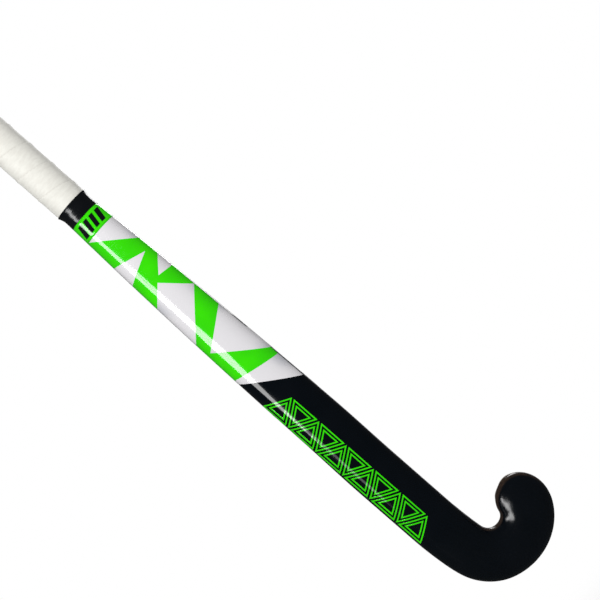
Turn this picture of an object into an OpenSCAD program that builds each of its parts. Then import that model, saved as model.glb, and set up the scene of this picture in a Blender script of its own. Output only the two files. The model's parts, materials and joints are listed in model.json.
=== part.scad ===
// A right-handed composite field hockey stick, upright, as a hand holds it.
//
// The handle's axis is the Z axis, and the origin is halfway along the grip. The flat playing
// face looks towards -Y, the rounded back towards +Y and the toe of the hook towards -X.
//
// Shapes are worked out in three stick coordinates and then placed:
//   lat  across the stick from its centre line, positive towards the toe
//   s    along the stick from the lowest point of the head
//   n    from the flat face towards the rounded back

/* [Overall size] */
// Length from the bottom of the head to the butt
stick_length = 927; // [880:1:965]
// Width of the shaft just above the head
shaft_w = 46.8; // [45:0.2:50]
// Thickness of the shaft and the head, from the flat face to the back
shaft_t = 23; // [20:0.5:25]
// Diameter of the bare handle under the grip
handle_d = 30.2; // [28:0.2:31]
// Angle that the bow turns the head forward, where 7 gives a bow of about 20
bow_angle = 7; // [1:0.5:8]

/* [Head] */
// Distance from the shaft's centre line to the centre that the hook curls round
hook_lat = 35.5; // [34:0.5:38]
// Height of that centre above the bottom of the head
hook_s = 61; // [58:0.5:64]
// Radius of the hook's middle line
hook_r = 36.8; // [36:0.2:38]
// Direction in which the hook starts to round off towards the toe
toe_start = 324; // [318:1:330]
// Direction in which the toe ends
toe_end = 380; // [376:1:385]

/* [Laminate] */
// Wall of the outer laminate
wall_t = 2.2; // [1.8:0.2:3]
// Thickness of the aramid sleeve round the head core
sleeve_t = 0.8; // [0.5:0.1:1.2]
// Wall of the two inner tubes
tube_t = 0.9; // [0.7:0.1:1.4]
// Thickness of the damping strip between the two inner tubes
strip_t = 1.6; // [1:0.2:2.4]

/* [Grip and butt] */
// Diameter over the grip tape
grip_d = 33; // [32:0.2:36]
// Distance from the bottom of the head to the lower end of the grip
grip_from = 515; // [505:1:530]
// Thickness of the outer grip tape
grip_tape_t = 0.6; // [0.4:0.1:0.8]
// Height of the black finishing tape below the end of the grip
collar_h = 16; // [14:1:20]
// Height of the butt cap
butt_cap_h = 6; // [4:0.5:8]

/* [Decals] */
// Thickness of each decal film
film_t = 0.15; // [0.1:0.05:0.3]
// Height of the green band below the finishing tape
band_h = 18; // [12:1:20]
// Width of the line that draws the outlined pattern on the back
outline_w = 1.2; // [0.8:0.1:1.6]
// Number of outlined triangles on the back
triangles = 11; // [7:2:13]

/* [Hidden] */

$fn = 96;
handle_r = handle_d / 2;
grip_r = grip_d / 2;
collar_from = grip_from - collar_h;
band_from = collar_from - band_h;
// The bare handle is round from here up
round_from = grip_from - 8;
laminate_top = stick_length - butt_cap_h;
origin_s = (grip_from + laminate_top) / 2;
// Clearance between two bonded pieces
bond = 0.05;

// ---- Cross-section of the stick ----

taper_from = 150;
widening = shaft_w / 2 - handle_r;
edge_r = 6;
edge_n = 8;

function clamp01(t) = min(1, max(0, t));
function smooth(t) = let (c = clamp01(t)) c * c * (3 - 2 * c);
function mix(a, b, t) = a + (b - a) * t;

// Half of the width, the back's height, and the edge where the face turns into the back
function half_w(s) = shaft_w / 2
    - widening * pow(clamp01((s - taper_from) / (round_from - taper_from)), 2);
function roundness(s) = smooth((s - 180) / (round_from - 180));
function back_n(s) = mix(shaft_t, handle_d, roundness(s));
function edge_at(s) = mix(edge_r, handle_r - 0.2, roundness(s));
function edge_n_at(s) = mix(edge_n, handle_r, roundness(s));
// The back is a superellipse that becomes a true circle at the handle
function back_power(s) = mix(2.3, 2, roundness(s));

// The ring's face side, from the heel edge across the flat to the toe edge, as [v, n],
// where v is positive on the side away from the hook's centre
function face_side(w, e, en, inset, steps) = let (flat = w - e) concat(
    [for (i = [0:steps]) let (a = -90 * i / steps)
        [flat + (e - inset) * cos(a), en + (en - inset) * sin(a)]],
    [for (i = [0:steps]) let (a = -90 - 90 * i / steps)
        [-flat + (e - inset) * cos(a), en + (en - inset) * sin(a)]]
);

// The ring's back side, from the toe edge over the top to the heel edge
function back_side(w, h, en, p, inset, steps) = [
    for (i = [0:steps]) let (a = 180 - 180 * i / steps, c = cos(a))
        [sign(c) * (w - inset) * pow(abs(c), 2 / p),
         en + (h - en - inset) * pow(abs(sin(a)), 2 / p)]
];

function drop_ends(l) = [for (i = [1:len(l) - 2]) l[i]];
function reversed(l) = [for (i = [len(l) - 1:-1:0]) l[i]];

EDGE_STEPS = 3;
BACK_STEPS = 16;

// A station is [centre offset or hook radius, half width, back height, edge width, edge height,
// back power, lift, s or angle, hooked], where lift raises the face towards the tip of the toe
function side_points(st, side, inset) = side == "face"
    ? face_side(st[1], st[3], st[4], inset, EDGE_STEPS)
    : back_side(st[1], st[2], st[4], st[5], inset, BACK_STEPS);
function ring_points(st, inset) = concat(
    side_points(st, "face", inset), drop_ends(side_points(st, "back", inset)));

// ---- Stations down the shaft and round the hook ----

// Low on the shaft the centre line eases out to the heel and then swings in to meet the hook
heel_ease = 0.85;
heel_from = 97;
hook_shift = 0.9;
function shaft_swing(s) = pow(clamp01((heel_from - s) / (heel_from - hook_s)), 2);
function shaft_mid(s) = (heel_ease + hook_shift) * shaft_swing(s)
    - heel_ease * smooth((230 - s) / 70);
function shaft_station(s) = [
    shaft_mid(s), half_w(s), back_n(s), edge_at(s), edge_n_at(s), back_power(s), 0, s, false];

// The hook swells past the heel, curls in along a spiral and rounds off at the toe. Where it
// leaves the shaft it goes on leaning the way the shaft does.
function hook_swell(a) = smooth((a - 185) / 60);
function hook_lean(a) = let (t = clamp01((a - 180) / 30)) t * pow(1 - t, 2);
function hook_spiral(a) = 11 * pow(clamp01((a - 260) / 120), 3.4);
function hook_mid(a) = mix(hook_lat - hook_shift, hook_r, hook_swell(a)) - hook_spiral(a)
    - 1.75 * hook_lean(a);
function hook_half_w(a) = shaft_w / 2 + 0.9 * hook_swell(a) - 1.2 * hook_lean(a);
function toe_close(a, end) = sqrt(1 - pow(clamp01((a - toe_start) / (end - toe_start)), 2));
function hook_station(a, end) = let (k = toe_close(a, end), lift = min(1, 2.2 * k))
    [hook_mid(a), hook_half_w(a) * k, mix(edge_n, shaft_t, k), edge_r * k, edge_n,
     2.3, 1 - lift, a, true];

// ---- The bow ----

bow_top = 500;
bow_bottom = 130;
bow_radius = (bow_top - bow_bottom) / (bow_angle * PI / 180);
function bow_at(s) = bow_angle * clamp01((bow_top - s) / (bow_top - bow_bottom));
function bow_y(s) = -handle_r - bow_radius * (1 - cos(bow_at(s)))
    - max(0, bow_bottom - s) * sin(bow_angle);
function bow_z(s) = max(s, bow_top) - origin_s - bow_radius * sin(bow_at(s))
    - max(0, bow_bottom - s) * cos(bow_angle);

// A point of the stick in the part's frame
function place(lat, s, n) = let (a = bow_at(s))
    [-lat, bow_y(s) + n * cos(a), bow_z(s) - n * sin(a)];

// A station's point [v, n] placed in the part's frame, with the toe's lifted face
function placed(st, q) = let (n = q[1] < st[4] ? mix(q[1], st[4], st[6]) : q[1])
    st[8] ? place(hook_lat + (st[0] + q[0]) * cos(st[7]),
                  hook_s + (st[0] + q[0]) * sin(st[7]), n)
          : place(st[0] - q[0], st[7], n);

// ---- Lofts ----

// Stations from the top of the laminate down to the hook
HANDLE_STOPS = [laminate_top, 860, 760, 660, 560, grip_from, round_from];
function shaft_stops(step) = concat(HANDLE_STOPS,
    [for (s = [round_from - 10:-step:hook_s + 8]) s]);
function between(stops, low, high) = concat(
    [high], [for (s = stops) if (s < high - 1 && s > low + 1) s], [low]);
function shaft_stations(low, high, step) = [
    for (s = between(shaft_stops(step), low, high)) shaft_station(s)];
function hook_stations(end, step, toe_steps) = concat(
    [for (a = [180:step:toe_start - 1]) hook_station(a, end)],
    [for (i = [0:toe_steps]) hook_station(
        toe_start + (end - toe_start) * sin(84 * i / toe_steps), end)]);

// A closed solid through rings, from the top down, that have the same number of points.
// A banded ring runs out along one line and back along another, and is closed by quads.
module loft(rings, banded = false) {
    m = len(rings[0]);
    last = len(rings) - 1;
    bands = [for (i = [0:m / 2 - 2]) [i, i + 1, m - 2 - i, m - 1 - i]];
    polyhedron(
        points = [for (r = rings) each r],
        faces = concat(
            banded ? bands : [[for (i = [0:m - 1]) i]],
            [for (j = [0:last - 1]) for (i = [0:m - 1])
                let (k = (i + 1) % m, a = j * m, b = a + m) each [
                    [a + i, b + i, b + k],
                    [a + i, b + k, a + k]]],
            banded ? [for (f = bands) [for (i = [3:-1:0]) last * m + f[i]]]
                   : [[for (i = [m - 1:-1:0]) last * m + i]]
        ),
        convexity = 8
    );
}

module body_loft(stations, inset) {
    loft([for (st = stations) [for (q = ring_points(st, inset)) placed(st, q)]]);
}

// The thin skin over one side of the shaft, between two heights above the laminate
module skin(side, base, top, low, high) {
    loft([for (st = shaft_stations(low, high, 18)) let (
        out = side_points(st, side, -top), under = side_points(st, side, -base))
        [for (q = concat(out, reversed(under))) placed(st, q)]], banded = true);
}

// ---- Outlines of the decals, in [lat, s] ----

// The point on the front view where a decal's corner falls
function plan(p, side) = let (n = side == "face" ? 0 : 0.8 * shaft_t)
    [-p[0], place(0, p[1], n)[2]];

module outline(points, side) {
    polygon([for (p = points) plan(p, side)]);
}

// A decal film: the skin of one side, cut to the outline given as a child
module film(side, low, high, base = 0, top = film_t) {
    intersection() {
        skin(side, base, top, low, high);
        rotate([90, 0, 0]) linear_extrude(200, center = true) children();
    }
}

// The decals run out over the edges of the shaft
over = 26;

FACE_WHITE = [
    [[over, 460.5], [-over, 460.5], [-over, 415], [over, 451.5]],
    [[over, 376.8], [-over, 405], [-over, 377.7], [over, 330.5]],
    [[over, 342.2], [over, 302.2], [-10.4, 294.9]],
    [[over, 266.3], [-over, 308.5], [-over, 259.8], [over, 250]]
];

BACK_GROUND = [[-over, band_from], [over, band_from], [over, 263.6], [-over, 307]];
BACK_GREEN = [
    [-over, 484], [-17.8, 484], [21, 448.4], [21, 434.4], [4.2, 417.6], [over, 413.6],
    [over, 366.8], [-17.2, 340], [over, 299.8], [over, 294.5], [-over, 309.5], [-over, 348.2],
    [18.7, 390.2], [-1.2, 414], [-over, 393.4], [-over, 425.4], [12.2, 440], [-over, 453.5]
];

// A broad chevron that points to the head
module chevron(s, half, rise, depth) {
    outline([[half, s + rise + depth], [0, s + depth], [-half, s + rise + depth],
             [-half, s + rise - depth], [0, s - depth], [half, s + rise - depth]], "face");
}

// A triangle, drawn as two lines, one inside the other. Its base runs along the stick.
module outlined_triangle(s, half, base, apex) {
    module triangle(inset) {
        offset(delta = -inset)
            outline([[base, s - half], [apex, s], [base, s + half]], "back");
    }
    for (inset = [0, outline_w + 1.6]) {
        difference() {
            triangle(inset);
            triangle(inset + outline_w);
        }
    }
}

// ---- Sub-parts ----

// The stick's outer shell of moulded composite, hollow from the toe to the butt
module outer_laminate() {
    color("#0a0e14") difference() {
        body_loft(concat(shaft_stations(hook_s + 1, laminate_top, 18),
                         hook_stations(toe_end, 6, 9)), 0);
        body_loft(concat(shaft_stations(hook_s + 1, laminate_top + 1, 30),
                         hook_stations(toe_end - 6, 15, 5)), wall_t);
    }
}

tube_from = 105;
tube_to = laminate_top - 61;

// The half of the cavity on the toe's side of the centre plane, as a ring of [v, n]
function half_ring(st, inset, gap) = let (
    face = side_points(st, "face", inset), back = side_points(st, "back", inset)) concat(
    [[-gap, face[EDGE_STEPS + 1][1]]],
    [for (i = [EDGE_STEPS + 1:2 * EDGE_STEPS + 1]) [min(face[i][0], -gap - 0.3), face[i][1]]],
    [for (i = [1:BACK_STEPS / 2]) [min(back[i][0], -gap), back[i][1]]]);

// One of the two braided tubes that lie side by side in the shaft
module inner_tube(heel_side) {
    module half(inset, low, high) {
        loft([for (st = shaft_stations(low, high, 40)) let (
            half = half_ring(st, wall_t + bond + inset, strip_t / 2 + bond + inset),
            ring = heel_side ? reversed([for (q = half) [-q[0], q[1]]]) : half)
            [for (q = ring) placed(st, q)]]);
    }
    difference() {
        half(0, tube_from, tube_to);
        half(tube_t, tube_from - 1, tube_to + 1);
    }
}

module inner_tube_heel() {
    color("#3a3f45") inner_tube(heel_side = true);
}

module inner_tube_toe() {
    color("#3a3f45") inner_tube(heel_side = false);
}

// A rubbery strip between the tubes that damps vibration below the hands
module damping_strip() {
    half = strip_t / 2;
    top = 800;
    color("#7a4fa0") loft([for (st = shaft_stations(430, top, 40)) let (
        low = wall_t + tube_t + 2, high = st[2] - wall_t - tube_t - 2)
        [for (q = [[half, low], [-half, low], [-half, high], [half, high]]) placed(st, q)]]);
}

core_to = tube_from - 2;

// The foam core that fills the head
module head_core() {
    color("#d9c48a") body_loft(concat(shaft_stations(hook_s + 1, core_to, 30),
        hook_stations(toe_end - 8, 15, 5)), wall_t + sleeve_t + 2 * bond);
}

// The woven aramid sleeve between the head core and the laminate
module head_aramid_sleeve() {
    color("#e0b53a") difference() {
        body_loft(concat(shaft_stations(hook_s + 1, core_to, 30),
            hook_stations(toe_end - 6.5, 15, 5)), wall_t + bond);
        body_loft(concat(shaft_stations(hook_s + 1, core_to + 1, 30),
            hook_stations(toe_end - 7.5, 15, 5)), wall_t + bond + sleeve_t);
    }
}

// A round piece on the handle's axis between two distances along the stick
module on_handle(low, high, r) {
    translate([0, 0, low - origin_s]) cylinder(h = high - low, r = r);
}

bore_r = handle_r - wall_t;
plug_h = 16;

// Foam that closes the hollow above the tubes
module handle_foam() {
    color("#efe9d2") on_handle(tube_to + 1, laminate_top - plug_h, bore_r - bond);
}

// The moulded plug that is glued into the open end of the laminate
module butt_plug() {
    color("#24282d") difference() {
        on_handle(laminate_top - plug_h + 0.2, laminate_top, bore_r - bond);
        on_handle(laminate_top - plug_h - 1, laminate_top - 4, bore_r - 2.5);
    }
}

// The rounded cap that covers the plug and the end of the grip
module butt_cap() {
    round_r = min(3, butt_cap_h / 2);
    color("#e8e7e2") translate([0, 0, laminate_top - origin_s]) rotate_extrude() union() {
        square([grip_r - round_r, butt_cap_h]);
        square([grip_r, butt_cap_h - round_r]);
        translate([grip_r - round_r, butt_cap_h - round_r]) intersection() {
            circle(r = round_r);
            square(round_r);
        }
    }
}

underlay_r = grip_r - grip_tape_t;

// A tube on the handle's axis
module sleeve(low, high, outer, inner) {
    difference() {
        on_handle(low, high, outer);
        on_handle(low - 1, high + 1, inner);
    }
}

// The soft felt layer of the grip
module grip_underlay() {
    color("#cfccc4") sleeve(grip_from, laminate_top, underlay_r, handle_r);
}

// The tacky outer tape of the grip
module grip_tape() {
    color("#f2f1ec") sleeve(grip_from, laminate_top, grip_r, underlay_r);
}

flare_h = 7;

// The black tape that finishes the lower end of the grip and flares up to it
module finishing_tape() {
    tape_t = 0.2;
    function climb(s) = pow(clamp01((s - (grip_from - flare_h)) / flare_h), 2);
    function grown(s) = mix(tape_t, grip_r - handle_r, climb(s));
    rings = concat([for (i = [0:5]) grip_from - i / 5 * flare_h], [round_from, collar_from]);
    color("#101216") difference() {
        loft([for (s = rings) let (st = shaft_station(s))
            [for (q = ring_points(st, -grown(s))) placed(st, q)]]);
        body_loft([for (s = [grip_from + 1, round_from, collar_from - 1]) shaft_station(s)], 0);
    }
}

// The green band round the stick below the finishing tape
module collar_band_decal() {
    color("#3ce000") difference() {
        body_loft(shaft_stations(band_from, collar_from, 18), -film_t);
        body_loft(shaft_stations(band_from - 1, collar_from + 1, 18), 0);
    }
}

// Slanted bars on the green band, on the face and on the back
module collar_mark_decal() {
    bar_w = 4.2;
    low = band_from + 3;
    high = collar_from - 3;
    lean = 1.2;
    color("#101216") for (side = ["face", "back"], lat = [-10.2:6.8:10.2]) {
        film(side, band_from, collar_from, film_t, 2 * film_t) outline([
            [lat - bar_w / 2 - lean, low], [lat + bar_w / 2 - lean, low],
            [lat + bar_w / 2 + lean, high], [lat - bar_w / 2 + lean, high]], side);
    }
}

// The white zigzag on the flat face
module face_white_decal() {
    color("#ebece8") film("face", 240, 470) for (p = FACE_WHITE) outline(p, "face");
}

// Three broad chevrons on the flat face
module face_emblem_decal() {
    color("#3ce000") film("face", 90, 222) for (i = [0:2])
        chevron(112 + 39 * i, 19.5, 9, 10.5);
}

// The dull wear band across the face just above the head
module face_satin_band() {
    color("#23262b") film("face", 65, 92) outline(
        [[-over, 70.5], [over, 70.5], [over, 87.5], [-over, 87.5]], "face");
}

// The silver ground of the back's zigzag
module back_silver_decal() {
    color("#dfe0dc") film("back", 250, 490) difference() {
        outline(BACK_GROUND, "back");
        outline(BACK_GREEN, "back");
    }
}

// The green zigzag on the back
module back_green_decal() {
    color("#3ce000") film("back", 250, 490) intersection() {
        outline(BACK_GROUND, "back");
        outline(BACK_GREEN, "back");
    }
}

// A row of outlined triangles down the heel side of the back, turned about by turns
module back_outline_decal() {
    low = 88;
    high = 278;
    sides = [-22.3, 0.7];
    pitch = (high - low) / (triangles + 1);
    color("#3ce000") film("back", 80, 286) for (i = [0:triangles - 1])
        outlined_triangle(low + pitch * (i + 1), 0.86 * pitch, sides[i % 2], sides[(i + 1) % 2]);
}

outer_laminate();
inner_tube_heel();
inner_tube_toe();
damping_strip();
head_core();
head_aramid_sleeve();
handle_foam();
butt_plug();
butt_cap();
grip_underlay();
grip_tape();
finishing_tape();
collar_band_decal();
collar_mark_decal();
face_white_decal();
face_emblem_decal();
face_satin_band();
back_silver_decal();
back_green_decal();
back_outline_decal();
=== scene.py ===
"""A composite field hockey stick, upright, with its rounded back towards the camera."""
import json
import math

import bpy
import numpy as np
from mathutils import Matrix, Vector, noise
from mathutils.geometry import delaunay_2d_cdt


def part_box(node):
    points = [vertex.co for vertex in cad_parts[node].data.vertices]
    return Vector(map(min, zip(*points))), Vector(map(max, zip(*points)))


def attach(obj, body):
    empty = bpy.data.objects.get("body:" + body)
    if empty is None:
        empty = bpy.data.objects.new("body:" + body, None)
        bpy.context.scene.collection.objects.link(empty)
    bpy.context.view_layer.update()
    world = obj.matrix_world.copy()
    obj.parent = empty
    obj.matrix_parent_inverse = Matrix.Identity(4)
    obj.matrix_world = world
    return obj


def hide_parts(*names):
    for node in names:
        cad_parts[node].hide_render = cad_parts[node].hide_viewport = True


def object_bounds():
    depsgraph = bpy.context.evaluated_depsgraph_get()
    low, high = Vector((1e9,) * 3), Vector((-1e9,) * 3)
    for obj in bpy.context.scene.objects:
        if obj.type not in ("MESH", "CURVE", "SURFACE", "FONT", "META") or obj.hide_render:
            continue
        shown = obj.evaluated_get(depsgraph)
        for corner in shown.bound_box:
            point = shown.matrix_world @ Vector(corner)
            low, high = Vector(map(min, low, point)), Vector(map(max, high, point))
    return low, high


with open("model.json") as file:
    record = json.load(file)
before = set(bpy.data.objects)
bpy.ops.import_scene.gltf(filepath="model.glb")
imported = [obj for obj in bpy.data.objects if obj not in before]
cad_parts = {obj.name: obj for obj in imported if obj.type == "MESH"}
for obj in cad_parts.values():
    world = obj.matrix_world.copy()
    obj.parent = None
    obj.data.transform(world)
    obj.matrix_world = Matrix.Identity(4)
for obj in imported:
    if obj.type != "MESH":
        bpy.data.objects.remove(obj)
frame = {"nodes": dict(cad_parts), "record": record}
cad_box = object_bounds()

# ---- Sizes, in millimetres, as in the CAD model ----

MM = 0.001
TO_MM = 1 / MM

SHAFT_W = 46.8
SHAFT_T = 23
HANDLE_R = 15.1
BOW_ANGLE = math.radians(7)
BOW_TOP, BOW_BOTTOM = 500, 130
BOW_RADIUS = (BOW_TOP - BOW_BOTTOM) / BOW_ANGLE

HOOK_LAT, HOOK_S = 35.5, 61
HOOK_R = 36.8
HOOK_SHIFT = 0.9
TOE_START, TOE_END = 324, 380
HEEL_EASE = 0.85
HEEL_FROM = 97
# The toe draws in towards the hook's centre
TOE_TUCK = 11
# Just below the shaft the hook goes on leaning the way the shaft does, and is a little thinner
LEAN_IN, LEAN_THIN = 1.75, 1.2
HEAD_SWELL = 0.9

WALL_T = 2.2
EDGE_R, EDGE_N = 6, 8
TAPER_FROM = 150
# Above this the section turns from a D to a circle
D_UP_TO = 180
# How square the section's back is: 2 is round
BACK_POWER = 2.3

GRIP_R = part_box("grip_tape")[1].x * TO_MM
GRIP_FROM = 515
LAMINATE_TOP = 921
ORIGIN_S = (GRIP_FROM + LAMINATE_TOP) / 2
ROUND_FROM = GRIP_FROM - 8
COLLAR_FROM = GRIP_FROM - 16
BAND_FROM = COLLAR_FROM - 18

FILM_T = 0.14
# How far a film, tape or wrap sinks into what it lies on
SUNK = 0.05


# ---- The shape of the stick ----

def clamp01(t):
    return min(1.0, max(0.0, t))


def smooth(t):
    c = clamp01(t)
    return c * c * (3 - 2 * c)


def mix(a, b, t):
    return a + (b - a) * t


def half_w(s):
    """Half of the shaft's width at a distance s from the bottom of the head."""
    taper = clamp01((s - TAPER_FROM) / (ROUND_FROM - TAPER_FROM)) ** 2
    return SHAFT_W / 2 - (SHAFT_W / 2 - HANDLE_R) * taper


def roundness(s):
    return smooth((s - D_UP_TO) / (ROUND_FROM - D_UP_TO))


def shaft_mid(s):
    """The centre line's offset towards the toe."""
    swing = clamp01((HEEL_FROM - s) / (HEEL_FROM - HOOK_S)) ** 2
    return (HEEL_EASE + HOOK_SHIFT) * swing - HEEL_EASE * smooth((230 - s) / 70)


class Station:
    """One cross-section: of the shaft at a distance, or of the hook at an angle."""

    def __init__(self, mid, w, h, e, en, power, at, hooked, lift=0.0):
        self.mid, self.w, self.h, self.e, self.en = mid, w, h, e, en
        self.power, self.at, self.hooked, self.lift = power, at, hooked, lift

    def ring(self, inset=0.0, edge_steps=8, back_steps=48):
        """The outline as [v, n]: heel edge, flat face, toe edge, rounded back."""
        flat, e, en = self.w - self.e, self.e - inset, self.en - inset
        quarter = [math.pi / 2 * i / edge_steps for i in range(edge_steps + 1)]
        face = [(flat + e * math.cos(a), self.en - en * math.sin(a)) for a in quarter]
        face += [(-flat - e * math.sin(a), self.en - en * math.cos(a)) for a in quarter]
        back = []
        for i in range(1, back_steps):
            a = math.pi * (1 - i / back_steps)
            back.append(((self.w - inset) * math.copysign(abs(math.cos(a)) ** (2 / self.power),
                                                          math.cos(a)),
                         self.en + (self.h - self.en - inset) * math.sin(a) ** (2 / self.power)))
        return face + back

    def place(self, v, n):
        """A point of the section in the part's frame."""
        if n < self.en:
            n = mix(n, self.en, self.lift)
        if self.hooked:
            reach = self.mid + v
            return place(HOOK_LAT + reach * math.cos(self.at), HOOK_S + reach * math.sin(self.at), n)
        return place(self.mid - v, self.at, n)


def shaft_station(s):
    r = roundness(s)
    return Station(shaft_mid(s), half_w(s), mix(SHAFT_T, 2 * HANDLE_R, r),
                   mix(EDGE_R, HANDLE_R - 0.2, r), mix(EDGE_N, HANDLE_R, r),
                   mix(BACK_POWER, 2, r), s, False)


def hook_station(a, end=TOE_END):
    swell = smooth((a - 185) / 60)
    start = clamp01((a - 180) / 30)
    lean = start * (1 - start) ** 2
    tuck = TOE_TUCK * clamp01((a - 260) / 120) ** 3.4
    mid = mix(HOOK_LAT - HOOK_SHIFT, HOOK_R, swell) - tuck - LEAN_IN * lean
    close = math.sqrt(1 - clamp01((a - TOE_START) / (end - TOE_START)) ** 2)
    half = SHAFT_W / 2 + HEAD_SWELL * swell - LEAN_THIN * lean
    return Station(mid, half * close, mix(EDGE_N, SHAFT_T, close),
                   EDGE_R * close, EDGE_N, BACK_POWER, math.radians(a), True,
                   1 - min(1, 2.2 * close))


def place(lat, s, n):
    """lat is across towards the toe, s up from the head's bottom, n from the face to the back."""
    a = BOW_ANGLE * clamp01((BOW_TOP - s) / (BOW_TOP - BOW_BOTTOM))
    below = max(0, BOW_BOTTOM - s)
    y = -HANDLE_R - BOW_RADIUS * (1 - math.cos(a)) - below * math.sin(BOW_ANGLE)
    z = max(s, BOW_TOP) - ORIGIN_S - BOW_RADIUS * math.sin(a) - below * math.cos(BOW_ANGLE)
    return (-lat, y + n * math.cos(a), z - n * math.sin(a))


def shaft_stations(low, high, step):
    count = max(1, round((high - low) / step))
    return [shaft_station(high + (low - high) * i / count) for i in range(count + 1)]


def hook_stations(end, step, toe_steps):
    count = round((TOE_START - 180) / step)
    stations = [hook_station(180 + (TOE_START - 180) * i / count, end) for i in range(count)]
    for i in range(toe_steps + 1):
        turn = math.radians(89 * i / toe_steps)
        stations.append(hook_station(TOE_START + (end - TOE_START) * math.sin(turn), end))
    return stations


def surface(side, q, s):
    """A point on one side of the shaft, where q goes from -1 at the toe edge to 1 at the heel's."""
    st = shaft_station(s)
    v = st.w * math.sin(math.pi / 2 * q)
    if side == "back":
        share = max(0.0, 1 - abs(v / st.w) ** st.power)
        n = st.en + (st.h - st.en) * share ** (1 / st.power)
    else:
        over = clamp01((abs(v) - (st.w - st.e)) / st.e)
        n = st.en * (1 - math.sqrt(max(0.0, 1 - over * over)))
    return np.array(st.place(v, n))


def surface_normal(side, q, s):
    dq, ds = 0.002, 0.1
    q0, q1 = max(-1, q - dq), min(1, q + dq)
    across = surface(side, q1, s) - surface(side, q0, s)
    up = surface(side, q, s + ds) - surface(side, q, s - ds)
    n = np.cross(across, up) * (1 if side == "face" else -1)
    return n / np.linalg.norm(n)


# ---- Mesh tools ----

def new_piece(name, points, faces, node, material, fields=None, normals=None):
    """A smooth mesh object from points in millimetres, which rides on the stick."""
    mesh = bpy.data.meshes.new(name)
    mesh.from_pydata([tuple(c * MM for c in p) for p in points], [], faces)
    mesh.validate()
    mesh.update()
    mesh.shade_smooth()
    for field, values in (fields or {}).items():
        attribute = mesh.attributes.new(field, "FLOAT", "POINT")
        attribute.data.foreach_set("value", np.array(values, np.float32))
    if normals is not None:
        mesh.normals_split_custom_set_from_vertices([tuple(n) for n in normals])
    piece = bpy.data.objects.new(name, mesh)
    bpy.context.scene.collection.objects.link(piece)
    mesh.materials.append(material)
    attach(piece, "root")
    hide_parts(node)
    return piece


def bridge(first, second, size):
    """Quads between two rings of the same size, given by the index of their first point."""
    return [(first + i, second + i, second + (i + 1) % size, first + (i + 1) % size)
            for i in range(size)]


class Tube:
    """Rings joined one after another into a closed mesh, with a value of each field per point."""

    def __init__(self, *fields):
        self.points, self.faces, self.size = [], [], None
        self.fields = {name: [] for name in fields}

    def add(self, ring, join=True, **values):
        start = len(self.points)
        if join and start:
            self.faces += bridge(start - self.size, start, self.size)
        self.size = len(ring)
        self.points += ring
        for name, column in self.fields.items():
            value = values[name]
            column += list(value) if hasattr(value, "__len__") else [value] * len(ring)

    def close_loop(self):
        """Joins the last ring to the first one."""
        self.faces += bridge(len(self.points) - self.size, 0, self.size)

    def cap(self, start, flip):
        """Closes the ring that starts at that index with a fan round its centre."""
        ring = range(start, start + self.size)
        centre = len(self.points)
        self.points.append(tuple(np.mean([self.points[i] for i in ring], axis=0)))
        for column in self.fields.values():
            column.append(column[start])
        for i in range(self.size):
            pair = (start + i, start + (i + 1) % self.size)
            self.faces.append((*(pair if flip else pair[::-1]), centre))


def inside(loop, x, y):
    """True if the point is inside the closed loop."""
    found = False
    for (x0, y0), (x1, y1) in zip(loop, loop[1:] + loop[:1]):
        if (y0 > y) != (y1 > y) and x < x0 + (y - y0) / (y1 - y0) * (x1 - x0):
            found = not found
    return found


def fine_loop(loop, step=1.5):
    """The closed loop with a point at least every step."""
    points = []
    for a, b in zip(loop, loop[1:] + loop[:1]):
        count = max(1, math.ceil(math.dist(a, b) / step))
        points += [(mix(a[0], b[0], i / count), mix(a[1], b[1], i / count)) for i in range(count)]
    return points


# Film outlines are worked out on the unrolled side: q times this is near a true millimetre
UNROLL = 30


def unrolled(loop):
    points = []
    for lat, s in fine_loop(loop):
        v = (shaft_mid(s) - lat) / half_w(s)
        q = math.asin(max(-1.0, min(1.0, v))) / (math.pi / 2)
        if not points or math.dist(points[-1], (UNROLL * q, s)) > 0.01:
            points.append((UNROLL * q, s))
    return points


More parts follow.
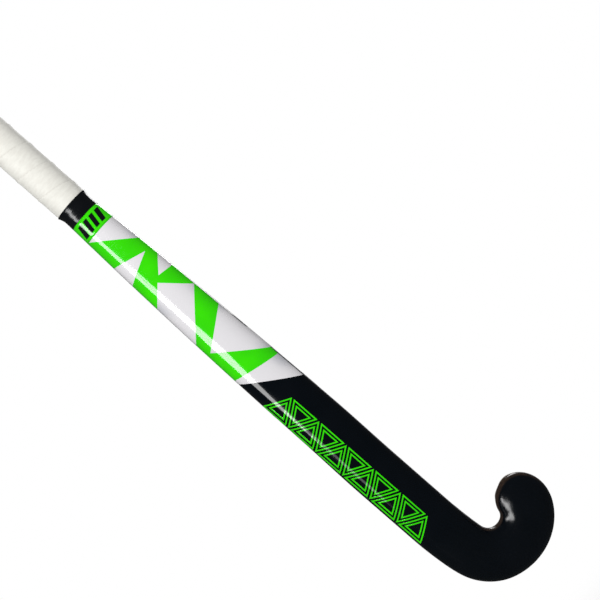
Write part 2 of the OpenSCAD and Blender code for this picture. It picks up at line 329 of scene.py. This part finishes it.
def film(name, side, shapes, node, material, keep=None, base=-SUNK, top=FILM_T):
    """A thin printed film on one side of the shaft, cut to shapes given in (lat, s).

    keep takes a True or False for each shape and says whether a place is covered. Without
    it, a place is covered if it is in an odd number of the shapes."""
    loops = [unrolled(shape) for shape in shapes]
    points, edges = [], []
    for loop in loops:
        first = len(points)
        points += loop
        edges += [(first + i, first + (i + 1) % len(loop)) for i in range(len(loop))]
    low, high = min(y for _, y in points), max(y for _, y in points)
    columns, rows = 40, max(2, round((high - low) / 2.4))
    for row in range(rows + 1):
        for column in range(columns + 1):
            points.append((UNROLL * (2 * column / columns - 1), mix(low, high, row / rows)))
    flat, _, triangles, *_ = delaunay_2d_cdt([Vector(p) for p in points], edges, [], 0, 1e-4)
    covered = keep or (lambda *flags: sum(flags) % 2 == 1)
    kept = []
    for tri in triangles:
        x, y = (sum(flat[i][k] for i in tri) / 3 for k in (0, 1))
        if covered(*(inside(loop, x, y) for loop in loops)):
            kept.append(tuple(tri) if side == "face" else tuple(reversed(tri)))
    used = sorted({i for tri in kept for i in tri})
    index = {old: new for new, old in enumerate(used)}
    kept = [tuple(index[i] for i in tri) for tri in kept]
    count = len(used)
    places = [(flat[i][0] / UNROLL, flat[i][1]) for i in used]
    spots = [surface(side, q, s) for q, s in places]
    normals = [surface_normal(side, q, s) for q, s in places]
    layers = [tuple(p + n * top) for p, n in zip(spots, normals)]
    layers += [tuple(p + n * base) for p, n in zip(spots, normals)]
    faces = kept + [tuple(i + count for i in reversed(tri)) for tri in kept]
    directed = {(a, b) for tri in kept for a, b in zip(tri, tri[1:] + tri[:1])}
    faces += [(b, a, a + count, b + count) for a, b in sorted(directed) if (b, a) not in directed]
    fields = {
        "across": [-math.sin(math.pi / 2 * q) * half_w(s) for q, s in places] * 2,
        "along": [s for _, s in places] * 2,
    }
    return new_piece(name, layers, faces, node, material, fields, normals * 2)


# ---- Material tools ----

class Graph:
    """A material's nodes, one short call for each."""

    def __init__(self, name):
        self.material = bpy.data.materials.new(name)
        self.material.use_nodes = True
        self.tree = self.material.node_tree
        self.shader = self.tree.nodes["Principled BSDF"]

    def put(self, socket, value):
        if isinstance(value, bpy.types.NodeSocket):
            self.tree.links.new(value, socket)
        else:
            socket.default_value = value

    def node(self, kind, inputs=None, **settings):
        made = self.tree.nodes.new("ShaderNode" + kind)
        for key, value in settings.items():
            setattr(made, key, value)
        for key, value in (inputs or {}).items():
            self.put(made.inputs[key], value)
        return made

    def shade(self, **inputs):
        """Sets the shader's sockets: base_color=... is Base Color."""
        for key, value in inputs.items():
            self.put(self.shader.inputs[key.replace("_", " ").title().replace("Ior", "IOR")], value)
        return self.material

    def field(self, name):
        return self.node("Attribute", attribute_name=name).outputs["Fac"]

    def place(self):
        return self.node("TexCoord").outputs["Object"]

    def math(self, operation, a, b=0.0):
        return self.node("Math", {0: a, 1: b}, operation=operation).outputs[0]

    def between(self, value, low, high, to_low=0.0, to_high=1.0):
        """Goes smoothly from to_low to to_high as value goes from low to high."""
        return self.node("MapRange", {"Value": value, "From Min": low, "From Max": high,
                                      "To Min": to_low, "To Max": to_high},
                         interpolation_type="SMOOTHSTEP").outputs[0]

    def blend(self, factor, a, b):
        """A colour between two."""
        return self.node("Mix", {0: factor, 6: a, 7: b}, data_type="RGBA").outputs[2]

    def vector(self, x, y, z):
        return self.node("CombineXYZ", {0: x, 1: y, 2: z}).outputs[0]

    def scaled(self, vector, scale):
        return self.node("Mapping", {"Vector": vector, "Scale": scale}).outputs[0]

    def noise(self, vector, scale, detail=3.0, roughness=0.5):
        return self.node("TexNoise", {"Vector": vector, "Scale": scale, "Detail": detail,
                                      "Roughness": roughness}).outputs["Fac"]

    def cells(self, vector, scale, feature="F1"):
        return self.node("TexVoronoi", {"Vector": vector, "Scale": scale},
                         feature=feature).outputs["Distance"]

    def bump(self, height, distance, strength=1.0):
        return self.node("Bump", {"Height": height, "Distance": distance,
                                  "Strength": strength}).outputs[0]


def rgb(red, green, blue):
    """A colour from its 0 to 255 screen values."""
    def linear(c):
        c /= 255
        return c / 12.92 if c <= 0.04045 else ((c + 0.055) / 1.055) ** 2.4
    return (linear(red), linear(green), linear(blue), 1)


# ---- Materials ----

def laminate_black():
    """Clear-coated on the shaft, satin on the back of the head and gritty on its face."""
    g = Graph("laminate_black")
    along, across, depth = g.field("along"), g.field("across"), g.field("depth")
    stick = g.vector(across, depth, along)
    streaks = g.noise(g.scaled(stick, (0.55, 0.55, 0.05)), 1.0, 4, 0.6)
    worn_edge = g.math("ADD", along, g.between(streaks, 0.3, 0.7, -9, 9))
    head = g.between(worn_edge, 66, 96, 1, 0)
    face = g.between(depth, 3, 9, 1, 0)
    grit = g.noise(stick, 1.1, 2, 0.6)
    cloud = g.noise(stick, 0.035, 3, 0.5)
    shaft_rough = g.between(cloud, 0.35, 0.7, 0.07, 0.12)
    head_back = g.between(streaks, 0.3, 0.75, 0.13, 0.2)
    head_face = g.between(grit, 0.35, 0.7, 0.42, 0.62)
    head_rough = g.node("Mix", {0: face, 2: head_back, 3: head_face}).outputs[0]
    rough = g.node("Mix", {0: head, 2: shaft_rough, 3: head_rough}).outputs[0]
    speck = g.between(g.cells(stick, 0.24), 0.05, 0.1, 1, 0)
    speck = g.math("MULTIPLY", g.math("MULTIPLY", speck, g.between(cloud, 0.45, 0.6)),
                   g.math("MULTIPLY", face, head))
    black = g.blend(cloud, rgb(1, 5, 10), rgb(6, 11, 17))
    dusty = g.blend(g.math("MULTIPLY", head, g.between(grit, 0.5, 0.8, 0, 0.5)),
                    black, rgb(14, 17, 21))
    bared = g.math("MULTIPLY", g.field("rim"), g.between(streaks, 0.3, 0.65, 0.45, 1))
    bare = g.blend(g.between(depth, 5, 9), rgb(112, 95, 79), rgb(50, 38, 30))
    edged = g.blend(bared, dusty, bare)
    colour = g.blend(g.math("MULTIPLY", speck, 0.5), edged, rgb(92, 92, 90))
    rubbed = g.math("MULTIPLY", streaks, g.between(face, 0, 1, 1.6, 0.2))
    height = g.math("MULTIPLY", grit, g.between(face, 0, 1, 0.25, 1))
    height = g.math("MULTIPLY", head, g.math("ADD", height, rubbed))
    peel = g.noise(stick, 0.16, 2, 0.4)
    height = g.math("ADD", height, g.math("MULTIPLY", peel, 0.15))
    return g.shade(base_color=colour, roughness=rough, normal=g.bump(height, 0.00012, 0.6),
                   specular_ior_level=0.5)


def ink(name, main, shade_to, rough=(0.08, 0.14), patch=0.03):
    """A printed film under the clear coat, with slow drifts of shade and fine ink mottle."""
    g = Graph(name)
    stick = g.vector(g.field("across"), 0.0, g.field("along"))
    slow = g.noise(stick, patch, 2, 0.5)
    mottle = g.noise(stick, 2.2, 2, 0.6)
    shade = g.math("ADD", g.between(slow, 0.35, 0.65, 0, 0.8), g.between(mottle, 0.3, 0.7, -0.1, 0.2))
    colour = g.blend(shade, main, shade_to)
    peel = g.noise(stick, 0.16, 2, 0.4)
    return g.shade(base_color=colour, roughness=g.between(slow, 0.3, 0.7, *rough),
                   normal=g.bump(peel, 0.00012, 0.08), coat_weight=0.6, coat_roughness=0.05)


def silver_ink():
    """Pearl white ink, greyed towards both sides of the rounded back in slanted bands: that grey is
    painted shade where the back turns from the light, and the fine flake is the ink's own.
    """
    g = Graph("decal_silver")
    along, across = g.field("along"), g.field("across")
    stick = g.vector(across, 0.0, along)
    slant = g.math("ADD", along, g.math("MULTIPLY", across, 0.9))
    wave = g.math("SINE", g.math("MULTIPLY", slant, 0.085))
    # Painted shade: grey that grows towards both sides of the rounded back, in slanted bands.
    painted_side_shade = g.between(g.math("ABSOLUTE", across), 9, 20)
    grey = g.math("MULTIPLY", g.between(wave, -0.2, 1), painted_side_shade)
    flake = g.noise(stick, 2.6, 2, 0.7)
    grey = g.math("ADD", g.math("MULTIPLY", grey, 0.8), g.between(flake, 0.3, 0.7, -0.06, 0.1))
    # The grey end of this blend is the painted shade, mixed with the ink's own flake.
    colour = g.blend(grey, rgb(232, 230, 233), rgb(196, 198, 205))
    return g.shade(base_color=colour, roughness=g.between(flake, 0.3, 0.7, 0.1, 0.2),
                   coat_weight=0.6, coat_roughness=0.05)


def satin_ink():
    """The dull band, crossed by fine scuffs along the stick."""
    g = Graph("decal_satin")
    along, across = g.field("along"), g.field("across")
    scuffs = g.noise(g.vector(g.math("MULTIPLY", across, 0.8), 0.0, g.math("MULTIPLY", along, 0.06)),
                     1.0, 4, 0.6)
    grain = g.noise(g.vector(across, 0.0, along), 1.6, 2, 0.6)
    colour = g.blend(g.between(scuffs, 0.35, 0.7), rgb(14, 18, 22), rgb(22, 26, 30))
    return g.shade(base_color=colour, roughness=g.between(scuffs, 0.3, 0.7, 0.42, 0.58),
                   normal=g.bump(grain, 0.0001, 0.5))


def vinyl_tape():
    """Glossy black tape, pulled tight, with faint wrinkles round the stick."""
    g = Graph("tape_black")
    spot = g.place()
    wrinkles = g.noise(g.scaled(spot, (90, 90, 620)), 1.0, 3, 0.55)
    smear = g.noise(spot, 60, 2, 0.5)
    colour = g.blend(smear, rgb(8, 10, 13), rgb(16, 18, 22))
    return g.shade(base_color=colour, roughness=g.between(smear, 0.3, 0.7, 0.09, 0.2),
                   normal=g.bump(wrinkles, 0.0005, 0.35))


def grip_white():
    """White synthetic leather with a fine pore grain, light grey hand marks and a grey line of painted
    shade along each lap.
    """
    g = Graph("grip_white")
    spot = g.place()
    pores = g.cells(spot, 1500)
    creases = g.noise(g.scaled(spot, (150, 150, 420)), 1.0, 4, 0.6)
    marks = g.noise(g.scaled(spot, (26, 26, 16)), 1.0, 4, 0.62)
    lap_shade = g.field("lap_shade")
    clean = g.blend(g.between(creases, 0.3, 0.7), rgb(236, 235, 227), rgb(228, 226, 218))
    handled = g.blend(g.between(marks, 0.56, 0.8, 0, 0.35), clean, rgb(214, 211, 205))
    # Painted shade: a grey line along each lap, where one turn's edge steps over the next.
    colour = g.blend(g.math("MULTIPLY", lap_shade, 0.35), handled, rgb(190, 186, 178))
    height = g.math("ADD", g.math("MULTIPLY", pores, 0.35), g.math("MULTIPLY", creases, 0.65))
    return g.shade(base_color=colour, roughness=g.between(marks, 0.3, 0.8, 0.62, 0.5),
                   normal=g.bump(height, 0.0005, 0.35), sheen_weight=0.15, sheen_roughness=0.5)


def cap_rubber():
    g = Graph("cap_rubber")
    spot = g.place()
    grain = g.noise(spot, 1400, 2, 0.6)
    dirt = g.noise(spot, 130, 4, 0.6)
    colour = g.blend(g.between(dirt, 0.5, 0.75, 0, 0.6), rgb(232, 230, 224), rgb(190, 187, 180))
    return g.shade(base_color=colour, roughness=g.between(dirt, 0.3, 0.7, 0.5, 0.65),
                   normal=g.bump(grain, 0.0003, 0.3))


def woven(name, warp, weft, scale, rough):
    """Cloth of two crossing yarns, set in resin, as on the tubes and the sleeve."""
    g = Graph(name)
    x, y, z = g.node("SeparateXYZ", {0: g.place()}).outputs
    turn = g.math("ADD", g.math("MULTIPLY", x, scale), g.math("MULTIPLY", y, scale))
    rise = g.math("MULTIPLY", z, scale)
    one = g.math("SINE", g.math("ADD", turn, rise))
    two = g.math("SINE", g.math("SUBTRACT", rise, turn))
    over = g.between(g.math("SUBTRACT", one, two), -0.4, 0.4)
    fuzz = g.noise(g.place(), scale * 0.6, 3, 0.6)
    colour = g.blend(over, warp, g.blend(g.between(fuzz, 0.3, 0.7, 0, 0.3), weft, warp))
    height = g.math("MAXIMUM", one, two)
    return g.shade(base_color=colour, roughness=g.between(fuzz, 0.3, 0.7, *rough),
                   normal=g.bump(height, 0.0002, 0.5))


def foam(name, light, dark, scale):
    """Closed-cell foam: rounded cells with darker walls."""
    g = Graph(name)
    cells = g.cells(g.place(), scale)
    tone = g.noise(g.place(), scale * 0.05, 3, 0.5)
    colour = g.blend(g.between(cells, 0.1, 0.7, 0, 0.7), light, g.blend(tone, dark, light))
    return g.shade(base_color=colour, roughness=g.between(tone, 0.3, 0.7, 0.8, 0.95),
                   normal=g.bump(cells, 0.0004, 0.6))


def moulded(name, light, dark, scale, rough):
    """Moulded rubber or plastic with a fine spark-eroded grain."""
    g = Graph(name)
    grain = g.noise(g.place(), scale, 3, 0.6)
    tone = g.noise(g.place(), scale * 0.04, 3, 0.5)
    colour = g.blend(tone, light, dark)
    return g.shade(base_color=colour, roughness=g.between(grain, 0.3, 0.7, *rough),
                   normal=g.bump(grain, 0.0002, 0.4))


MATERIALS = {
    "laminate_black": laminate_black(),
    "decal_green": ink("decal_green", rgb(59, 233, 0), rgb(50, 218, 0)),
    "decal_white": ink("decal_white", rgb(236, 237, 233), rgb(226, 227, 225)),
    "decal_black": ink("decal_black", rgb(9, 12, 16), rgb(15, 18, 22)),
    "decal_silver": silver_ink(),
    "decal_satin": satin_ink(),
    "tape_black": vinyl_tape(),
    "grip_white": grip_white(),
    "cap_rubber": cap_rubber(),
    "grip_felt": foam("grip_felt", rgb(205, 200, 190), rgb(170, 165, 155), 2600),
    "braided_tube": woven("braided_tube", rgb(36, 39, 43), rgb(62, 66, 70), 1500, (0.25, 0.4)),
    "aramid": woven("aramid", rgb(214, 168, 52), rgb(188, 140, 34), 2100, (0.3, 0.5)),
    "core_foam": foam("core_foam", rgb(222, 200, 148), rgb(196, 170, 116), 900),
    "damping_rubber": moulded("damping_rubber", rgb(112, 72, 148), rgb(88, 54, 122), 1800, (0.5, 0.7)),
    "plug_plastic": moulded("plug_plastic", rgb(34, 38, 43), rgb(26, 29, 33), 2400, (0.35, 0.5)),
}


# ---- Laminate ----

def rim_amount(st, v, n):
    """How much of the bare edge shows: all round the toe and the throat, midway in depth."""
    if not st.hooked:
        return 0.0
    angle = math.degrees(st.at)
    inner = smooth(-v / max(st.w, 1) * 2 - 0.6)
    toe = smooth((angle - 332) / 22)
    band = smooth((n - 1.5) / 2) * smooth((14.8 - n) / 1.6)
    return max(inner, toe) * smooth((angle - 186) / 14) * band


def travelled(st):
    """Distance of a section along the stick, which goes on below zero round the hook."""
    return HOOK_S - (st.at - math.pi) * HOOK_R if st.hooked else st.at


def make_laminate():
    tube = Tube("along", "across", "depth", "rim")

    def add(st, inset=0.0, join=True):
        ring = st.ring(inset)
        tube.add([st.place(v, n) for v, n in ring], join, along=travelled(st),
                 across=[-v for v, _ in ring], depth=[n for _, n in ring],
                 rim=[rim_amount(st, v, n) for v, n in ring])

    cavity = shaft_stations(HOOK_S + 1, LAMINATE_TOP, 18) + hook_stations(TOE_END - 6, 12, 6)
    for st in reversed(cavity):
        add(st, WALL_T)
    for st in shaft_stations(GRIP_FROM, LAMINATE_TOP, 20):
        add(st)
    for st in shaft_stations(HOOK_S + 1, GRIP_FROM, 2.4)[1:] + hook_stations(TOE_END, 1.6, 34):
        add(st)
    last = len(tube.points) - tube.size
    tube.cap(0, flip=True)
    tube.cap(last, flip=False)
    new_piece("laminate", tube.points, tube.faces, "outer_laminate",
              MATERIALS["laminate_black"], tube.fields)


# ---- Films ----

OVER = 26

FACE_WHITE = [
    [(OVER, 460.5), (-OVER, 460.5), (-OVER, 415), (OVER, 451.5)],
    [(OVER, 376.8), (-OVER, 405), (-OVER, 377.7), (OVER, 330.5)],
    [(OVER, 342.2), (OVER, 302.2), (-10.4, 294.9)],
    [(OVER, 266.3), (-OVER, 308.5), (-OVER, 259.8), (OVER, 250)],
]
# The ground stops short of the toe edge in two places, where the black shows as a thin line
BACK_GROUND = [(-OVER, BAND_FROM), (OVER, BAND_FROM), (OVER, 404), (18.6, 402), (20.4, 332),
               (OVER, 330), (OVER, 306), (21, 304), (21.5, 267.2), (-OVER, 307)]
BACK_GREEN = [
    (-OVER, 484), (-17.8, 484), (21, 448.4), (21, 434.4), (4.2, 417.6), (OVER, 413.6),
    (OVER, 366.8), (-17.2, 340), (OVER, 299.8), (OVER, 294.5), (-OVER, 309.5), (-OVER, 348.2),
    (18.7, 390.2), (-1.2, 414), (-OVER, 393.4), (-OVER, 425.4), (12.2, 440), (-OVER, 453.5),
]
SATIN_BAND = [(-OVER, 70.5), (OVER, 70.5), (OVER, 87.5), (-OVER, 87.5)]


def chevron(s, half=19.5, rise=9, depth=10.5):
    """A broad chevron that points to the head, as a loop."""
    return [(half, s + rise + depth), (0, s + depth), (-half, s + rise + depth),
            (-half, s + rise - depth), (0, s - depth), (half, s + rise - depth)]


def shrunk(loop, by):
    """The loop with every edge moved in by the same distance."""
    area = sum(a[0] * b[1] - b[0] * a[1] for a, b in zip(loop, loop[1:] + loop[:1]))
    lines = []
    for a, b in zip(loop, loop[1:] + loop[:1]):
        inward = np.array([a[1] - b[1], b[0] - a[0]]) / math.dist(a, b) * math.copysign(1, area)
        lines.append((inward, inward @ np.array(a) + by))
    return [tuple(np.linalg.solve(np.array([n0, n1]), np.array([d0, d1])))
            for (n0, d0), (n1, d1) in zip(lines[-1:] + lines[:-1], lines)]


def outlined_triangles(low=88, high=278, count=11, line=1.2, gap=1.6):
    """Triangles in a row down the heel side, turned about by turns and each drawn twice."""
    loops = []
    sides = (-22.3, 0.7)
    pitch = (high - low) / (count + 1)
    half = 0.86 * pitch
    for i in range(count):
        s = low + pitch * (i + 1)
        base, apex = sides[i % 2], sides[(i + 1) % 2]
        triangle = [(base, s - half), (apex, s), (base, s + half)]
        loops += [shrunk(triangle, by) for by in (0, line, line + gap, 2 * line + gap)]
    return loops


def collar_bars(width=4.2, pitch=6.8, lean=1.2, margin=3):
    bars = []
    for i in (-1.5, -0.5, 0.5, 1.5):
        low, high = i * pitch - lean, i * pitch + lean
        bars.append([(low - width / 2, BAND_FROM + margin), (low + width / 2, BAND_FROM + margin),
                     (high + width / 2, COLLAR_FROM - margin),
                     (high - width / 2, COLLAR_FROM - margin)])
    return bars


def make_films():
    green, white = MATERIALS["decal_green"], MATERIALS["decal_white"]
    film("face_white", "face", FACE_WHITE, "face_white_decal", white)
    film("face_emblem", "face", [chevron(112 + 39 * i) for i in range(3)],
         "face_emblem_decal", green)
    film("face_satin", "face", [SATIN_BAND], "face_satin_band",
         MATERIALS["decal_satin"], top=0.06)
    film("back_silver", "back", [BACK_GROUND, BACK_GREEN], "back_silver_decal",
         MATERIALS["decal_silver"], keep=lambda ground, lit: ground and not lit)
    film("back_green", "back", [BACK_GROUND, BACK_GREEN], "back_green_decal",
         green, keep=lambda ground, lit: ground and lit)
    film("back_outline", "back", outlined_triangles(), "back_outline_decal", green)
    for side in ("face", "back"):
        film("collar_mark_" + side, side, collar_bars(), "collar_mark_decal",
             MATERIALS["decal_black"], base=FILM_T - SUNK, top=2 * FILM_T)


def wrap(name, stops, outset, node, material, inner=lambda s: -SUNK):
    """A closed band round the stick, whose outside stands off by outset(s)."""
    tube = Tube("along", "across")
    rings = [(s, outset) for s in stops] + [(s, inner) for s in reversed(stops)]
    for s, grown in rings:
        st = shaft_station(s)
        ring = st.ring(-grown(s))
        tube.add([st.place(v, n) for v, n in ring], along=s, across=[-v for v, _ in ring])
    tube.close_loop()
    return new_piece(name, tube.points, tube.faces, node, material, tube.fields)


def make_collar():
    wrap("collar_band", [mix(COLLAR_FROM, BAND_FROM, i / 8) for i in range(9)],
         lambda s: FILM_T, "collar_band_decal", MATERIALS["decal_green"])
    flare_h, tape_t = 9, 0.2

    def outside(s):
        flare = clamp01((s - (GRIP_FROM - flare_h)) / flare_h) ** 2.3
        pulled = 0.04 * math.sin((s - COLLAR_FROM) * 1.1) * smooth((s - COLLAR_FROM) / 5)
        return tape_t + (GRIP_R - HANDLE_R + 0.5) * flare + pulled

    count = 36
    stops = [mix(GRIP_FROM, COLLAR_FROM, i / count) for i in range(count + 1)]
    wrap("finishing_wrap", stops, outside, "finishing_tape",
         MATERIALS["tape_black"])


# ---- Grip ----

PITCH, LAP = 25.0, 6.5
LAP_RISE = 0.42
WOBBLE, CREASE = 0.16, 0.05


def lapped(w):
    """Height over the plain tape at a distance w, in turns, below the tape's upper edge."""
    up = LAP_RISE * smooth((w * PITCH - (PITCH - LAP)) / (LAP - 1.4))
    edge = clamp01((w * PITCH - (PITCH - 0.45)) / 0.45)
    return up * (1 - edge ** 2) - 0.16 * math.exp(-w * PITCH / 1.1)


def make_grip():
    """The outer tape, wound down the handle in a spiral, each turn lapping the one before."""
    low, high = GRIP_FROM - 0.3 - ORIGIN_S, LAMINATE_TOP - ORIGIN_S
    inner = GRIP_R - 0.6
    around, fine = 120, 0.9
    count = round((high - low) / fine)
    tube = Tube("lap_shade")
    levels = [mix(high, low, i / count) for i in range(count + 1)]

    def ring(z, plain=None):
        points, lap_shades = [], []
        for i in range(around):
            turn = i / around
            c, sn = math.cos(2 * math.pi * turn), math.sin(2 * math.pi * turn)
            w = ((z - low) / PITCH + turn) % 1
            wobble = WOBBLE * noise.noise(Vector((c * 2.1, sn * 2.1, z * 0.055)))
            crease = CREASE * noise.noise(Vector((c * 6, sn * 6, z * 0.5 + 40)))
            r = plain or GRIP_R - 0.12 + lapped(w) + wobble + crease
            points.append((r * c, r * sn, z))
            # Painted shade: how much the grey line at each lap darkens this point, strongest at the
            # step.
            lap_shades.append(min(1.0, math.exp(-((w * PITCH) / 0.9) ** 2)))
        return points, lap_shades

    for z in levels:
        points, lap_shades = ring(z)
        tube.add(points, lap_shade=lap_shades)
    for z in (low, high):
        points, lap_shades = ring(z, inner)
        tube.add(points, lap_shade=lap_shades)
    tube.close_loop()
    new_piece("grip_wrap", tube.points, tube.faces, "grip_tape",
              MATERIALS["grip_white"], tube.fields)


# ---- Butt cap ----

def make_butt_cap():
    """The rubber cap: a rolled rim, a shallow dish and a raised middle with a vent dimple."""
    low, high = (corner * TO_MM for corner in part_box("butt_cap"))
    base, top, r = low.z, high.z, high.x
    height, bevel = top - base, 2.6
    outline = [(r - 0.35, 0.0), (r, 0.35), (r, height * 0.45)]
    outline += [(r - bevel * (1 - math.cos(a)), height - bevel * (1 - math.sin(a)))
                for a in (math.pi / 2 * i / 8 for i in range(9))]
    outline += [(r * 0.74, height - 0.1), (r * 0.71, height - 0.5), (r * 0.6, height - 0.9),
                (r * 0.4, height - 0.9), (r * 0.36, height - 0.6), (r * 0.32, height - 0.3),
                (r * 0.14, height - 0.25), (r * 0.11, height - 0.4), (r * 0.08, height - 1.2),
                (r * 0.03, height - 1.4)]
    tube = Tube()
    around = 96
    for radius, z in outline[::-1]:
        tube.add([(radius * math.cos(2 * math.pi * i / around),
                   radius * math.sin(2 * math.pi * i / around), base + z)
                  for i in range(around)])
    last = len(tube.points) - around
    tube.cap(0, flip=False)
    tube.cap(last, flip=True)
    new_piece("butt_end", tube.points, tube.faces, "butt_cap",
              MATERIALS["cap_rubber"])


# ---- Pieces that stay as the CAD made them ----

def dress_cad_nodes():
    slots = {part["node"]: part["material_slot"] for part in frame["record"]["subparts"]}
    for name, node in frame["nodes"].items():
        if not node.hide_render:
            node.data.materials.clear()
            node.data.materials.append(MATERIALS[slots[name]])


# ---- Stage ----

def make_floor():
    """A pale round floor that fades into the white background."""
    low, _ = cad_box
    radius, gap, around = 1.3, 0.12, 64
    fade_from, fade_to = 0.06, 0.5
    mesh = bpy.data.meshes.new("floor")
    rim = [(radius * math.cos(2 * math.pi * i / around),
            radius * math.sin(2 * math.pi * i / around), low.z - gap) for i in range(around)]
    mesh.from_pydata(rim, [], [tuple(range(around))])
    floor = bpy.data.objects.new("floor", mesh)
    bpy.context.scene.collection.objects.link(floor)
    g = Graph("floor")
    x, y, _ = g.node("SeparateXYZ", {0: g.place()}).outputs
    out = g.math("SQRT", g.math("ADD", g.math("MULTIPLY", x, x), g.math("MULTIPLY", y, y)))
    grain = g.noise(g.place(), 30, 3, 0.5)
    colour = g.blend(grain, rgb(240, 240, 240), rgb(246, 246, 246))
    g.shade(base_color=colour, roughness=0.7, specular_ior_level=0.1)
    clear = g.node("BsdfTransparent")
    fade = g.node("MixShader", {0: g.between(out, fade_from, fade_to), 1: g.shader.outputs[0],
                                2: clear.outputs[0]})
    output = g.tree.nodes["Material Output"]
    g.put(output.inputs["Surface"], fade.outputs[0])
    mesh.materials.append(g.material)
    floor.visible_glossy = False


def make_world():
    """White behind the stick, softer round it, and dim in its gloss."""
    world = bpy.data.worlds.new("studio")
    bpy.context.scene.world = world
    world.use_nodes = True
    tree = world.node_tree
    back = tree.nodes["Background"]
    rays = tree.nodes.new("ShaderNodeLightPath")
    soft = tree.nodes.new("ShaderNodeMix")
    seen = tree.nodes.new("ShaderNodeMix")
    diffuse, in_gloss = 0.45, 0.05
    soft.inputs[2].default_value = diffuse
    soft.inputs[3].default_value = in_gloss
    seen.inputs[3].default_value = 1.0
    tree.links.new(rays.outputs["Is Glossy Ray"], soft.inputs[0])
    tree.links.new(soft.outputs[0], seen.inputs[2])
    tree.links.new(rays.outputs["Is Camera Ray"], seen.inputs[0])
    tree.links.new(seen.outputs[0], back.inputs["Strength"])
    back.inputs["Color"].default_value = (1, 1, 1, 1)


def panel(name, low, high, aim, width, radiance, gloss):
    """A flat light whose long side runs from low to high. It shows in gloss, or only fills."""
    low, high, aim = Vector(low), Vector(high), Vector(aim)
    centre, along = (low + high) / 2, (high - low)
    light = bpy.data.lights.new(name, "AREA")
    light.shape = "RECTANGLE"
    light.size, light.size_y = width, along.length
    light.energy = radiance * math.pi * width * along.length
    back = (centre - aim).normalized()
    across = along.cross(back).normalized()
    back = across.cross(along).normalized()
    turn = Matrix((across, along.normalized(), back)).transposed().to_4x4()
    lamp = bpy.data.objects.new(name, light)
    lamp.matrix_world = Matrix.Translation(centre) @ turn
    lamp.visible_glossy, lamp.visible_diffuse = gloss, not gloss
    bpy.context.scene.collection.objects.link(lamp)


def make_lights():
    shaft = (0, 0, -0.3)
    # On the back, a streak runs down the heel side, broader below, and dies away on the black
    panel("streak_high", (0.62, 0.62, -0.36), (0.78, 0.38, 0.15), shaft, 0.26, 9, gloss=True)
    panel("streak_low", (0.56, 0.72, -0.62), (0.62, 0.62, -0.36), shaft, 0.44, 9, gloss=True)
    panel("streak_end", (0.58, 0.62, -0.84), (0.6, 0.64, -0.62), shaft, 0.14, 2.2, gloss=True)
    # On the face, one runs down the toe edge, bright at the handle and faint at the head
    panel("edge_high", (-0.42, -0.9, -0.35), (-0.42, -0.9, 0.3), shaft, 0.2, 5, gloss=True)
    panel("edge_low", (-0.42, -0.9, -1.0), (-0.42, -0.9, -0.35), shaft, 0.14, 0.6, gloss=True)
    for name, x, y in [("fill_back", 0.35, 1.6), ("fill_face", -0.35, -1.6)]:
        panel(name, (x, y, -0.3), (x, y * 0.8, 0.9), shaft, 1.2, 4.4, gloss=False)


def make_camera():
    """Looks straight at the back of the stick, rolled so that the head is at the lower right."""
    lean = math.radians(41.33)
    distance, frame_w = 1.9, 0.5245
    target = Vector(place(68.8, 311.5, 8)) * MM
    right = Vector((-math.sin(lean), 0, -math.cos(lean)))
    up = Vector((-math.cos(lean), 0, math.sin(lean)))
    view = bpy.data.cameras.new("camera")
    view.sensor_width = 36
    view.lens = 36 * distance / frame_w
    view.clip_start, view.clip_end = 0.05, 50
    camera = bpy.data.objects.new("camera", view)
    turn = Matrix((right, up, Vector((0, 1, 0)))).transposed()
    camera.matrix_world = Matrix.Translation(target + Vector((0, distance, 0))) @ turn.to_4x4()
    bpy.context.scene.collection.objects.link(camera)
    bpy.context.scene.camera = camera


make_camera()
make_world()
make_lights()
make_floor()
make_laminate()
make_films()
make_collar()
make_grip()
make_butt_cap()
dress_cad_nodes()
bpy.context.scene.view_settings.view_transform = "Standard"
